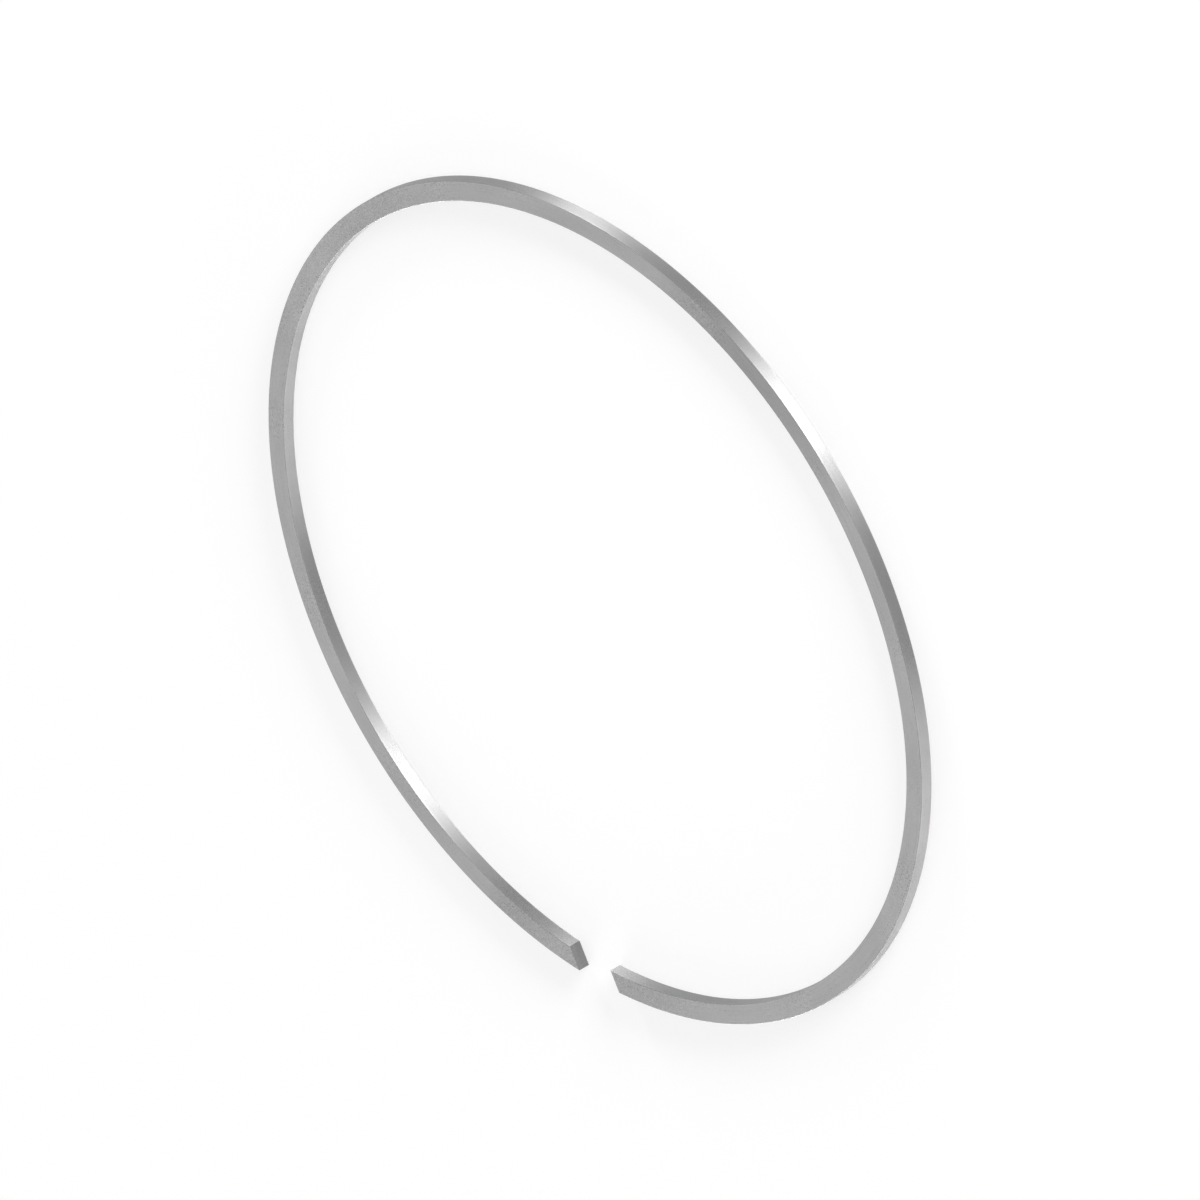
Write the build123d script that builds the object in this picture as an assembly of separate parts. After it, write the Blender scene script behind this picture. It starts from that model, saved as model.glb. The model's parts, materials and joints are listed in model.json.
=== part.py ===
from build123d import *
import math
import os

# A snap ring of flat spring wire: coiled on edge into a circle, then cut through at a slant.
# The ring lies flat on its lower face, with its axis along Z and the gap between its ends towards -Y.

# Driving dimensions, in millimetres and degrees
INNER_DIAMETER = 127.2
WIRE_WIDTH = 3.2  # across the wire, from the ring's inner wall to its outer wall
WIRE_THICKNESS = 2.0  # along the ring's axis
EDGE_BREAK = 0.1  # small 45-degree bevel along the wire's four long edges
GAP_WIDTH = 8.2  # between the two ends, along the wire's middle line
END_SLANT = 30.0  # angle of both end faces to the radial line through the middle of the gap
CUT_OVERRUN = 1.0  # how far the gap's cutter runs past the wire on every side

inner_radius = INNER_DIAMETER / 2
middle_radius = inner_radius + WIRE_WIDTH / 2
outer_radius = inner_radius + WIRE_WIDTH


def wire_section():
    """The flat wire's cross-section, where the middle of the gap will be."""
    flat = Rectangle(WIRE_WIDTH, WIRE_THICKNESS)
    outline = chamfer(flat.vertices(), EDGE_BREAK)
    return Plane.YZ * Pos(-middle_radius, WIRE_THICKNESS / 2) * outline


def gap_cutter():
    """A slanted bar through the whole wire: its two sides leave the parallel end faces."""

    def corner(side, radius):
        lean = (radius - middle_radius) * math.tan(math.radians(END_SLANT))
        return (side * GAP_WIDTH / 2 + lean, -radius)

    inside = inner_radius - CUT_OVERRUN
    outside = outer_radius + CUT_OVERRUN
    outline = Polygon(
        corner(-1, outside),
        corner(1, outside),
        corner(1, inside),
        corner(-1, inside),
        align=None,
    )
    height = WIRE_THICKNESS + 2 * CUT_OVERRUN
    return extrude(Pos(0, 0, -CUT_OVERRUN) * outline, height, dir=(0, 0, 1))


def snap_ring():
    """The closed hoop of wire with the gap cut out of it."""
    hoop = revolve(wire_section(), Axis.Z, 360)
    return hoop - gap_cutter()


os.makedirs("parts", exist_ok=True)
export_step(snap_ring(), "parts/snap_ring.step")
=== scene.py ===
import json
import math

import bpy
from mathutils import Matrix, Vector, noise

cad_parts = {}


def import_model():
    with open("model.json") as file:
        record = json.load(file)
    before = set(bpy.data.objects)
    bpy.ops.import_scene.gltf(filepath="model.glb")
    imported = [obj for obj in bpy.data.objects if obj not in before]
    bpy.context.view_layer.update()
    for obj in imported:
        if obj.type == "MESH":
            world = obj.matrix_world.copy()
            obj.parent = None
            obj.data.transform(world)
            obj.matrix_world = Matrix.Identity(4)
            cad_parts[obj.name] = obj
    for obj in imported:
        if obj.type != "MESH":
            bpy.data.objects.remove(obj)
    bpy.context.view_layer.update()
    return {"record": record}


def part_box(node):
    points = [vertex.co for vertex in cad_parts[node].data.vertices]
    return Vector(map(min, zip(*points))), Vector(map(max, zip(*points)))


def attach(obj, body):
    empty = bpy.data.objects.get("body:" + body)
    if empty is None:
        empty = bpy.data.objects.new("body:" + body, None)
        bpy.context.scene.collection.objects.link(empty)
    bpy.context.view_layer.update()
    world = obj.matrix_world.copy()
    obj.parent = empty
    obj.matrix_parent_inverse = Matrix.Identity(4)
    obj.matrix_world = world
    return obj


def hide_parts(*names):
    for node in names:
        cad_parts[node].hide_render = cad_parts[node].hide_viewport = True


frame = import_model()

# The ring's sizes from the frame, in metres
MM = 0.001
lowest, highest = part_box("snap_ring")
mount_sizes = {mount["name"]: mount["dims"] for mount in frame["record"]["mounts"]}
INNER = mount_sizes["inner_grip"]["r_mm"] * MM
OUTER = mount_sizes["outer_rim"]["r_mm"] * MM
BOTTOM, TOP = lowest.z, highest.z
MIDDLE = (INNER + OUTER) / 2
MID_HEIGHT = (TOP + BOTTOM) / 2
HALF_WIDTH = (OUTER - INNER) / 2
HALF_THICKNESS = (TOP - BOTTOM) / 2

# The gap, as the part's source has it
GAP_WIDTH = 8.2 * MM
END_SLANT = math.radians(30)

# Rounding left on the wire's long edges by drawing, and on the sheared ends by tumbling
EDGE_ROUND = 0.08 * MM
END_ROUND = 0.03 * MM

# A sheared end, in millimetres: how far in its parts lie, and how high they are
DRAWN_DEPTH, DRAWN_HEIGHT = 0.02, 0.16
SMOOTH_HEIGHT, SMOOTH_WANDER = 0.75, 0.18
TORN_DEPTH, TORN_GRIT, TORN_BORDER = 0.012, 0.012, 0.2
STREAK_DEPTH = 0.0015

# Stretches of wire that differ from the rest. The first number is the middle, in degrees round the ring from
# the side opposite the gap towards +X. The others are millimetres from there: where the stretch has ended,
# and up to where it is full.
DULL_STRETCH = 30.5, 26.0, 5.0
GRAINY_STRETCH = -55.0, 32.0, 18.0
SCUFFED_STRETCH = -165.0, 8.0, 2.0

# The same two distances from the gap's middle, for the stretches that tools held, and from an edge, for the
# strip that is rubbed
HELD_STRETCH = 24.0, 10.0
RUBBED_STRIP = 0.32, 0.08

# Heights above the wire's middle, in millimetres, between which a sheared end turns from smooth to torn
TORN_START, TORN_FULL = 0.3, 0.1

# How finely the mesh is cut: round the ring, over the roundings, across the flat sides and over the end faces
STATIONS = 480
EDGE_STEPS = 5
END_STEPS = 3
FACE_STEPS = 24
WALL_STEPS = 14
END_RINGS = 11
INNERMOST_RING = 0.96 * HALF_THICKNESS

# Thin strips beside each rounding, which keep the flat sides flat in the shading
SIDE_STRIP = 0.02 * MM
END_STRIP = 0.05  # in stations

# The map that finishes are baked on: a square sheet with the wire unrolled in strips, and the ends above them
MAP_SIDE = 70.5 * MM
STRIPS = 6
STRIP_PITCH = 10.9 * MM
STRIP_STATIONS = STATIONS // STRIPS
STRIP_LENGTH = 2 * math.pi * MIDDLE / STRIPS
STRIP_MARGIN = (MAP_SIDE - STRIP_LENGTH) / 2
ENDS_HEIGHT = STRIPS * STRIP_PITCH + 2.5 * MM
FIRST_END, LAST_END = 4 * MM, 12 * MM

# Material slots
FACE, WALL, END = 0, 1, 2

# What the warmest steel gains and loses in red, green and blue
STRAW = 0.005, 0.0, -0.006


# The wire

def flat_stops(length, steps):
    """Distances along a flat side at which it is cut, with a thin strip at each end."""
    inside = length - 2 * SIDE_STRIP
    return [SIDE_STRIP + inside * step / steps for step in range(steps + 1)]


def wire_profile():
    """The section's outline once round, as (radius, height, slot of the side that starts there)."""
    corners = (
        (1, 1, 0, FACE),
        (-1, 1, 90, WALL),
        (-1, -1, 180, FACE),
        (1, -1, 270, WALL),
    )
    flats = {
        FACE: flat_stops(2 * (HALF_WIDTH - EDGE_ROUND), FACE_STEPS),
        WALL: flat_stops(2 * (HALF_THICKNESS - EDGE_ROUND), WALL_STEPS),
    }
    points = []
    for across, upward, start, side in corners:
        centre_r = MIDDLE + across * (HALF_WIDTH - EDGE_ROUND)
        centre_z = MID_HEIGHT + upward * (HALF_THICKNESS - EDGE_ROUND)
        for step in range(EDGE_STEPS + 1):
            angle = math.radians(start + 90 * step / EDGE_STEPS)
            r = centre_r + EDGE_ROUND * math.cos(angle)
            z = centre_z + EDGE_ROUND * math.sin(angle)
            points.append((r, z, side if step == EDGE_STEPS else WALL))
        ahead = math.radians(start + 180)
        for run in flats[side]:
            points.append((r + run * math.cos(ahead), z + run * math.sin(ahead), side))
    return points


def distances_round(profile):
    """How far round the section each point of the outline lies, and the whole way at the end."""
    distances = [0.0]
    for (r, z, _), (next_r, next_z, _) in zip(profile, profile[1:] + profile[:1]):
        distances.append(distances[-1] + math.hypot(next_r - r, next_z - z))
    return distances


def end_angle(r, side, depth):
    """Angle round the axis, from the gap's middle towards +X, of an end face's plane at radius r.

    side is 1 for the end at +X and -1 for the other, and depth is how far inside the wire the plane is.
    """
    half_gap = side * (GAP_WIDTH / 2 + depth / math.cos(END_SLANT))
    offset = (half_gap - MIDDLE * math.tan(END_SLANT)) * math.cos(END_SLANT)
    return END_SLANT + math.asin(offset / r)


def at(r, angle, z):
    return Vector((r * math.sin(angle), -r * math.cos(angle), z))


def wire_stations():
    """Where the wire is cut along its length, with a thin strip at each end."""
    return [0, END_STRIP] + list(range(1, STATIONS)) + [STATIONS - END_STRIP, STATIONS]


def wire_row(profile, station):
    """The outline's points at a station; the first station is the end at +X, and the last is the other."""
    points = []
    for r, z, _ in profile:
        start = end_angle(r, 1, END_ROUND)
        end = 2 * math.pi + end_angle(r, -1, END_ROUND)
        points.append(at(r, start + (end - start) * station / STATIONS, z))
    return points


def wire_bands(profile):
    """For each band of faces round the wire, its two rows' places on the map and its faces' slots."""
    stations = wire_stations()
    slots = [slot for _, _, slot in profile]
    heights = [STRIP_MARGIN / 2 + distance for distance in distances_round(profile)]
    bands = []
    for near, far in zip(stations, stations[1:]):
        strip = int(near / STRIP_STATIONS)
        rows = []
        for station in (near, far):
            u = STRIP_MARGIN + STRIP_LENGTH * (station / STRIP_STATIONS - strip)
            rows.append([(u / MAP_SIDE, (strip * STRIP_PITCH + height) / MAP_SIDE) for height in heights])
        bands.append((*rows, slots))
    return bands


# The ends

def shear_relief(side, r, z):
    """How far a point of a sheared end lies inside the end's plane.

    The blade came down through the wire. It drew the upper edge in, rubbed the metal below that smooth, and
    the rest broke away, a little further in and rough. The noises take cells per millimetre, and the factors
    of side keep the two ends and the three noises apart.
    """
    below_top = (TOP - z) / MM
    across = (r - MIDDLE) / MM
    drawn_in = DRAWN_DEPTH * max(0.0, 1 - below_top / DRAWN_HEIGHT) ** 2
    wander = SMOOTH_WANDER * noise.noise(Vector((across * 1.3, 7.0 * side, 0.0)))
    broken = min(1.0, max(0.0, (below_top - SMOOTH_HEIGHT - wander) / TORN_BORDER))
    streaks = STREAK_DEPTH * (1 + noise.noise(Vector((across * 9.0, below_top * 0.6, 3.0 * side))))
    grit = TORN_GRIT * noise.fractal(Vector((across * 4.0, below_top * 3.0, 5.0 * side)), 1.0, 2.0, 3)
    return MM * max(0.0, drawn_in + streaks + broken * (TORN_DEPTH + grit))


def end_steps():
    """The rows over an end, from the wire's last row inwards, as (inset, depth, share of the relief)."""
    steps = []
    for step in range(END_STEPS + 1):
        turn = math.pi / 2 * step / END_STEPS
        steps.append((END_ROUND * (1 - math.cos(turn)), END_ROUND * (1 - math.sin(turn)), step / END_STEPS))
    for ring in range(1, END_RINGS + 1):
        steps.append((END_ROUND + (INNERMOST_RING - END_ROUND) * ring / END_RINGS, 0.0, 1.0))
    return steps


def inset_outline(profile, inset):
    """The outline's points as (radius, height), drawn in towards the section's middle."""
    across, upward = 1 - inset / HALF_WIDTH, 1 - inset / HALF_THICKNESS
    return [(MIDDLE + (r - MIDDLE) * across, MID_HEIGHT + (z - MID_HEIGHT) * upward) for r, z, _ in profile]


def end_rows(profile, side):
    """Rows of points over an end, from the wire's last row inwards."""
    rows = []
    for inset, depth, relief in end_steps():
        row = []
        for r, z in inset_outline(profile, inset):
            sunk = depth + relief * shear_relief(side, r, z)
            row.append(at(r, end_angle(r, side, sunk), z))
        rows.append(row)
    return rows


def end_spots(profile, left):
    """Where those rows lie on the map, with the end's middle this far from its left side."""
    rows = []
    for inset, _, _ in end_steps():
        row = []
        for r, z in inset_outline(profile, inset):
            across = (r - MIDDLE) / math.cos(END_SLANT)
            row.append(((left + across) / MAP_SIDE, (ENDS_HEIGHT + z - MID_HEIGHT) / MAP_SIDE))
        rows.append(row + row[:1])
    return rows


def end_bands(spots):
    slots = [END] * (len(spots[0]) - 1)
    return [(near, far, slots) for near, far in zip(spots, spots[1:])]


def ring_mesh():
    """The ring as one closed mesh with rounded long edges and sheared ends, unrolled on its map."""
    profile = wire_profile()
    count = len(profile)
    wire = [wire_row(profile, station) for station in wire_stations()]
    rows = end_rows(profile, 1)[:0:-1] + wire + end_rows(profile, -1)[1:]
    first_spots = end_spots(profile, FIRST_END)[::-1]
    last_spots = end_spots(profile, LAST_END)
    bands = end_bands(first_spots) + wire_bands(profile) + end_bands(last_spots)

    faces, slots, spots = [], [], []
    for i, (near, far, band_slots) in enumerate(bands):
        here, ahead = i * count, (i + 1) * count
        for j in range(count):
            k = (j + 1) % count
            faces.append((here + j, ahead + j, ahead + k, here + k))
            spots += [near[j], far[j], far[j + 1], near[j + 1]]
        slots += band_slots

    # The middles of the two end faces
    last_row = len(bands) * count
    faces += [tuple(range(count)), tuple(reversed(range(last_row, last_row + count)))]
    spots += first_spots[0][:count] + last_spots[-1][count - 1::-1]
    slots += [END, END]
    return built_mesh("snap_ring_wire", [point for row in rows for point in row], faces, slots, spots)


def built_mesh(name, points, faces, slots, spots):
    """A smooth mesh, with the slot of each face and the place of each face's corners on the map."""
    mesh = bpy.data.meshes.new(name)
    mesh.from_pydata(points, [], faces)
    mesh.polygons.foreach_set("material_index", slots)
    mesh.polygons.foreach_set("use_smooth", [True] * len(faces))
    uv_map = mesh.uv_layers.new(name="OFBake")
    uv_map.uv.foreach_set("vector", [number for spot in spots for number in spot])
    mesh.update()
    return mesh


# Node helpers

def put(tree, socket, value):
    """Sets a socket to a number or a colour, or links an output to it."""
    if isinstance(value, bpy.types.NodeSocket):
        tree.links.new(value, socket)
    else:
        socket.default_value = value


def add(tree, kind, settings=(), **inputs):
    """Adds a node. settings are its properties, and inputs its sockets by name, as values or outputs."""
    made = tree.nodes.new("ShaderNode" + kind)
    for name, value in dict(settings).items():
        setattr(made, name, value)
    for name, value in inputs.items():
        put(tree, made.inputs[name.replace("_", " ")], value)
    return made


def calc(tree, operation, *numbers):
    made = add(tree, "Math", {"operation": operation})
    for socket, value in zip(made.inputs, numbers):
        put(tree, socket, value)
    return made.outputs[0]


def total(tree, *terms):
    """The sum of terms, each a number or an (output, factor) pair."""
    result = 0.0
    for term in terms:
        if isinstance(term, tuple):
            result = calc(tree, "MULTIPLY_ADD", term[0], term[1], result)
        else:
            result = calc(tree, "ADD", result, term)
    return result


def ramp(tree, value, start, end, low=0.0, high=1.0):
    """A smooth step of value from start to end, which gives low to high."""
    limits = {"From_Min": start, "From_Max": end, "To_Min": low, "To_Max": high}
    made = add(tree, "MapRange", {"interpolation_type": "SMOOTHSTEP"}, Value=value, **limits)
    return made.outputs["Result"]


def cells(tree, place, along, across, detail=2.0, roughness=0.5):
    """Noise from -1 to 1, about 0, in cells about this many millimetres long and wide."""
    scaled = add(tree, "VectorMath", {"operation": "MULTIPLY"})
    put(tree, scaled.inputs[0], place)
    put(tree, scaled.inputs[1], (1 / along, 1 / across, 1 / across))
    made = add(tree, "TexNoise", Vector=scaled.outputs[0], Scale=1.0, Detail=detail, Roughness=roughness)
    return calc(tree, "MULTIPLY_ADD", made.outputs["Fac"], 2.0, -1.0)


# The wire's places, in millimetres

def wire_place(tree):
    """Distances along the wire, across it and up, from its middle; the first jumps only in the gap."""
    split = add(tree, "SeparateXYZ", Vector=add(tree, "TexCoord").outputs["Object"])
    x, y, z = split.outputs
    radius = calc(tree, "SQRT", total(tree, (x, x), (y, y)))
    along = calc(tree, "MULTIPLY", calc(tree, "ARCTAN2", x, y), MIDDLE / MM)
    across = calc(tree, "MULTIPLY_ADD", radius, 1 / MM, -MIDDLE / MM)
    height = calc(tree, "MULTIPLY_ADD", z, 1 / MM, -MID_HEIGHT / MM)
    place = add(tree, "CombineXYZ", X=along, Y=across, Z=height).outputs[0]
    return place, along, across, height


def edge_distance(tree, across, height):
    """How far a point of a flat side is from its nearest long edge."""
    from_side = calc(tree, "SUBTRACT", HALF_WIDTH / MM, calc(tree, "ABSOLUTE", across))
    from_face = calc(tree, "SUBTRACT", HALF_THICKNESS / MM, calc(tree, "ABSOLUTE", height))
    return calc(tree, "ADD", from_side, from_face)


def stretch(tree, place, along, middle, end, full):
    """1 in the middle of a stretch of the wire and 0 past its end, with a ragged border."""
    centre = math.radians(middle) * MIDDLE / MM
    off_centre = calc(tree, "ABSOLUTE", calc(tree, "SUBTRACT", along, centre))
    ragged = total(tree, (off_centre, 1.0), (cells(tree, place, 8.0, 8.0), 6.0))
    return ramp(tree, ragged, end, full)


def near_ends(tree, along):
    """1 in the last stretch before each end, where tools held the wire."""
    from_gap = calc(tree, "SUBTRACT", math.pi * MIDDLE / MM, calc(tree, "ABSOLUTE", along))
    return ramp(tree, from_gap, *HELD_STRETCH)


def near_edges(tree, place, across, height):
    """1 along the long edges, with a broken border."""
    from_edge = edge_distance(tree, across, height)
    return ramp(tree, total(tree, (from_edge, 1.0), (cells(tree, place, 1.5, 0.6), 0.12)), *RUBBED_STRIP)


# Steel

def steel(name, **settings):
    """A bare metal material, its tree and its shader, with the tangent running round the ring."""
    mat = bpy.data.materials.new(name)
    mat.use_nodes = True
    tree = mat.node_tree
    shader = tree.nodes["Principled BSDF"]
    shader.inputs["Metallic"].default_value = 1
    tangent = add(tree, "Tangent", {"direction_type": "RADIAL", "axis": "Z"})
    put(tree, shader.inputs["Tangent"], tangent.outputs["Tangent"])
    for socket, value in settings.items():
        shader.inputs[socket.replace("_", " ")].default_value = value
    return mat, tree, shader


def tint(tree, shader, brightness, warmth):
    """Sets the colour: a grey of this brightness, which warmth from -1 to 1 turns a trace towards straw."""
    red, green, blue = (
        calc(tree, "MULTIPLY", brightness, total(tree, 1.0, (warmth, share)))
        for share in STRAW
    )
    colour = add(tree, "CombineColor", Red=red, Green=green, Blue=blue)
    put(tree, shader.inputs["Base Color"], colour.outputs[0])


def relief(tree, shader, height, microns):
    """Bump from a height given in units of this many micrometres."""
    made = add(tree, "Bump", Height=height, Strength=1.0, Distance=microns * 1e-6)
    put(tree, shader.inputs["Normal"], made.outputs[0])


def wire_finish(name, grey, roughness, anisotropic, speckle, mottle, worn_ends, marked):
    """Spring wire's own skin: drawing lines along it, a fine speckle in patches, and rubbed edges."""
    mat, tree, shader = steel(name, Anisotropic=anisotropic, Anisotropic_Rotation=0.25)
    place, along, across, height = wire_place(tree)

    small_clouds, large_clouds = cells(tree, place, 7.0, 3.0, 3.0), cells(tree, place, 30.0, 30.0, 1.0)
    clouds = total(tree, (small_clouds, mottle), (large_clouds, 0.12))
    fine_lines = cells(tree, place, 9.0, 0.1, 2.0, 0.6)
    broad_lines = cells(tree, place, 16.0, 0.36, 1.0)
    lines = total(tree, (fine_lines, 0.8), (broad_lines, 0.25))
    pits = ramp(tree, cells(tree, place, 0.5, 0.22, 1.0), 0.42, 0.6)

    # The speckle comes in patches, and covers the rough stretches.
    by_ends = near_ends(tree, along)
    dull = stretch(tree, place, along, *DULL_STRETCH)
    grainy = stretch(tree, place, along, *GRAINY_STRETCH)
    scuffed = stretch(tree, place, along, *SCUFFED_STRETCH)
    rough_places = ramp(tree, cells(tree, place, 14.0, 14.0, 1.0), -0.05, 0.35, 0.25, 1.0)
    for rough in (by_ends, grainy, scuffed):
        rough_places = calc(tree, "MAXIMUM", rough_places, rough)
    specks = calc(tree, "MULTIPLY", cells(tree, place, 0.26, 0.18, 2.0, 0.8), rough_places)
    dark_dots = ramp(tree, cells(tree, place, 0.35, 0.2, 2.0), 0.0, 0.4)
    dots = calc(tree, "MULTIPLY", dark_dots, ramp(tree, rough_places, 0.3, 1.0))

    # The rubbed edges are brighter and smoother.
    rubbed = near_edges(tree, place, across, height)

    brightness = total(
        tree,
        1.0,
        (clouds, 1.0),
        (lines, 0.15),
        (specks, speckle),
        (dots, -0.1),
        (by_ends, worn_ends),
        (dull, -0.2 * marked),
        (scuffed, -0.1 * marked),
        (rubbed, 0.03),
        (pits, -0.15),
    )
    tint(tree, shader, calc(tree, "MULTIPLY", brightness, grey), cells(tree, place, 20.0, 6.0))
    gloss = total(tree, roughness, (clouds, 0.1), (lines, 0.1), (specks, 0.06), (rubbed, -0.04), (pits, 0.1))
    put(tree, shader.inputs["Roughness"], gloss)
    relief(tree, shader, total(tree, (lines, 1.2), (specks, 3.5), (dots, -1.0), (pits, -3.0)), 1.0)
    return mat


def sheared_finish(name, grey, roughness):
    """A sheared end: rubbed smooth by the blade near the top, and torn and grainy below."""
    mat, tree, shader = steel(name)
    place, _, across, height = wire_place(tree)
    border = total(tree, (height, 1.0), (cells(tree, place, 1.2, 0.8), 0.1))
    torn = ramp(tree, border, TORN_START, TORN_FULL)
    face_place = add(tree, "CombineXYZ", X=across, Y=across, Z=height).outputs[0]
    streaks = cells(tree, face_place, 0.12, 0.9, 2.0)
    grains = cells(tree, place, 0.12, 0.12, 3.0, 0.65)
    grit = calc(tree, "MULTIPLY", grains, ramp(tree, border, TORN_START, TORN_FULL, 0.3, 1.0))
    brightness = total(tree, 1.0, (streaks, 0.12), (grit, 0.2), (torn, -0.01))
    tint(tree, shader, calc(tree, "MULTIPLY", brightness, grey), cells(tree, place, 3.0, 1.5))
    gloss = total(tree, roughness, (streaks, 0.04), (torn, 0.08), (grit, 0.05))
    put(tree, shader.inputs["Roughness"], gloss)
    relief(tree, shader, total(tree, (streaks, 0.7), (grit, 2.5)), 1.5)
    return mat


def rolled_face():
    return wire_finish(
        "rolled_face",
        grey=0.38,
        roughness=0.3,
        anisotropic=0.0,
        speckle=0.6,
        mottle=0.08,
        worn_ends=-0.02,
        marked=1.0,
    )


def drawn_wall():
    return wire_finish(
        "drawn_wall",
        grey=0.38,
        roughness=0.5,
        anisotropic=0.9,
        speckle=0.6,
        mottle=0.06,
        worn_ends=0.02,
        marked=0.6,
    )


def sheared_end_painted_shade():
    # The ends' grey, 0.222 against the 0.38 of the rest of the wire, is partly the duller look of a torn
    # surface and mostly painted shade: it puts the end faces' darkness into their colour.
    return sheared_finish("sheared_end_painted_shade", grey=0.222, roughness=0.68)


def place_in_scene(obj):
    bpy.context.scene.collection.objects.link(obj)
    return obj


ring = place_in_scene(bpy.data.objects.new("snap_ring_wire", ring_mesh()))
for finish in (rolled_face, drawn_wall, sheared_end_painted_shade):
    ring.data.materials.append(finish())
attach(ring, "root")
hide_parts("snap_ring")


# Studio

# Metres from each lamp to the ring's middle
LAMP_DISTANCE = 1.2

# Soft lamps: azimuth from the gap towards +X and elevation in degrees, width and height in metres, watts
LAMPS = (
    ("softbox_front", 142, 9, 0.30, 0.25, 8.7),
    ("softbox_front_far", 155, 9, 0.30, 0.25, 9.5),
    ("softbox_left", 217, 8.5, 0.24, 0.25, 6.0),
    ("softbox_right", 22, 3.5, 0.90, 0.12, 3.7),
    ("softbox_right_front", 60, 3.5, 0.90, 0.12, 4.9),
    ("softbox_back", 315, 38, 1.60, 1.20, 2.9),
    ("softbox_rim", 340, 10, 0.45, 0.30, 5.2),
    ("softbox_top", 0, 90, 0.80, 0.80, 1.35),
)

# The world's strength at the horizon, and from halfway up
HORIZON, ZENITH = 0.38, 0.5

# The floor, in metres: half its side, its clearance from the ring, the share of its look that takes no shadow
# near the ring, and the distances from the axis between which that share rises to all of it
FLOOR_HALF = 3.0
FLOOR_CLEARANCE = 0.02 * MM
PLAIN_WHITE = 0.6
SHADOW_END, PLAIN_START = 0.2, 0.6
WHITE = (1, 1, 1, 1)


def softbox(name, azimuth, elevation, width, height, power):
    """A soft lamp that faces the ring."""
    data = bpy.data.lights.new(name, "AREA")
    data.shape = "RECTANGLE"
    data.size, data.size_y = width, height
    data.energy = power
    lamp = place_in_scene(bpy.data.objects.new(name, data))
    a, e = math.radians(azimuth), math.radians(elevation)
    out = Vector((math.sin(a) * math.cos(e), -math.cos(a) * math.cos(e), math.sin(e)))
    lamp.location = out * LAMP_DISTANCE
    lamp.rotation_mode = "QUATERNION"
    lamp.rotation_quaternion = out.to_track_quat("Z", "Y")
    lamp.visible_camera = False


def world():
    """Soft light from all round.

    Below the horizon it is plain white. The floor hides that part from the ring: only a low camera sees it.
    """
    made = bpy.data.worlds.new("studio")
    made.use_nodes = True
    bpy.context.scene.world = made
    tree = made.node_tree
    upward = add(tree, "SeparateXYZ", Vector=add(tree, "TexCoord").outputs["Generated"]).outputs["Z"]
    above = ramp(tree, upward, 0.0, 0.5, HORIZON, ZENITH)
    below = calc(tree, "LESS_THAN", upward, 0.0)
    background = tree.nodes["Background"]
    put(tree, background.inputs["Color"], WHITE)
    put(tree, background.inputs["Strength"], calc(tree, "MULTIPLY_ADD", below, 1 - HORIZON, above))


def floor():
    z = BOTTOM - FLOOR_CLEARANCE
    corners = [(x * FLOOR_HALF, y * FLOOR_HALF, z) for x, y in ((-1, -1), (1, -1), (1, 1), (-1, 1))]
    mesh = bpy.data.meshes.new("floor")
    mesh.from_pydata(corners, [], [(0, 1, 2, 3)])
    mesh.materials.append(floor_paper())
    place_in_scene(bpy.data.objects.new("floor", mesh))


def floor_paper():
    """White paper that keeps a faint shadow.

    Seen straight or mirrored in the metal, part of its look is plain white. Far from the ring, where no
    shadow falls and the lamps reach less, all of it is.
    """
    mat = bpy.data.materials.new("floor_white")
    mat.use_nodes = True
    tree = mat.node_tree
    shader = tree.nodes["Principled BSDF"]
    shader.inputs["Base Color"].default_value = WHITE
    shader.inputs["Roughness"].default_value = 1
    shader.inputs["Specular IOR Level"].default_value = 0
    white = add(tree, "Emission", Color=WHITE, Strength=1.0)
    rays = add(tree, "LightPath").outputs
    mirrored = calc(tree, "MAXIMUM", rays["Is Glossy Ray"], rays["Is Transmission Ray"])
    seen = calc(tree, "MAXIMUM", rays["Is Camera Ray"], mirrored)
    place = add(tree, "TexCoord").outputs["Object"]
    from_axis = add(tree, "VectorMath", {"operation": "LENGTH"}, Vector=place).outputs["Value"]
    plain = ramp(tree, from_axis, SHADOW_END, PLAIN_START, PLAIN_WHITE, 1.0)
    mix = add(tree, "MixShader", Fac=calc(tree, "MULTIPLY", seen, plain))
    for socket, look in zip(mix.inputs[1:], (shader, white)):
        put(tree, socket, look.outputs[0])
    put(tree, tree.nodes["Material Output"].inputs["Surface"], mix.outputs[0])
    return mat


world()
floor()
for lamp in LAMPS:
    softbox(*lamp)


# Isometric camera, which sees the ring as the photograph does

PHOTO_SIDE = 1200  # pixels
PHOTO_RADIUS = 462.17  # pixels from the ring's centre to its outer wall, along a line at its full length
CAMERA_DISTANCE = 0.7


def isometric_camera():
    data = bpy.data.cameras.new("camera")
    data.type = "ORTHO"
    data.ortho_scale = PHOTO_SIDE * OUTER / PHOTO_RADIUS
    data.clip_start = 0.01
    data.clip_end = 20
    right = Vector((1, 0, -1)).normalized()
    up = Vector((-1, 2, -1)).normalized()
    back = Vector((1, 1, 1)).normalized()
    turn = Matrix((right, up, back)).transposed().to_4x4()
    made = place_in_scene(bpy.data.objects.new("camera", data))
    made.matrix_world = Matrix.Translation(Vector((0, 0, MID_HEIGHT)) + back * CAMERA_DISTANCE) @ turn
    return made


bpy.context.scene.camera = isometric_camera()
bpy.context.scene.view_settings.view_transform = "Standard"
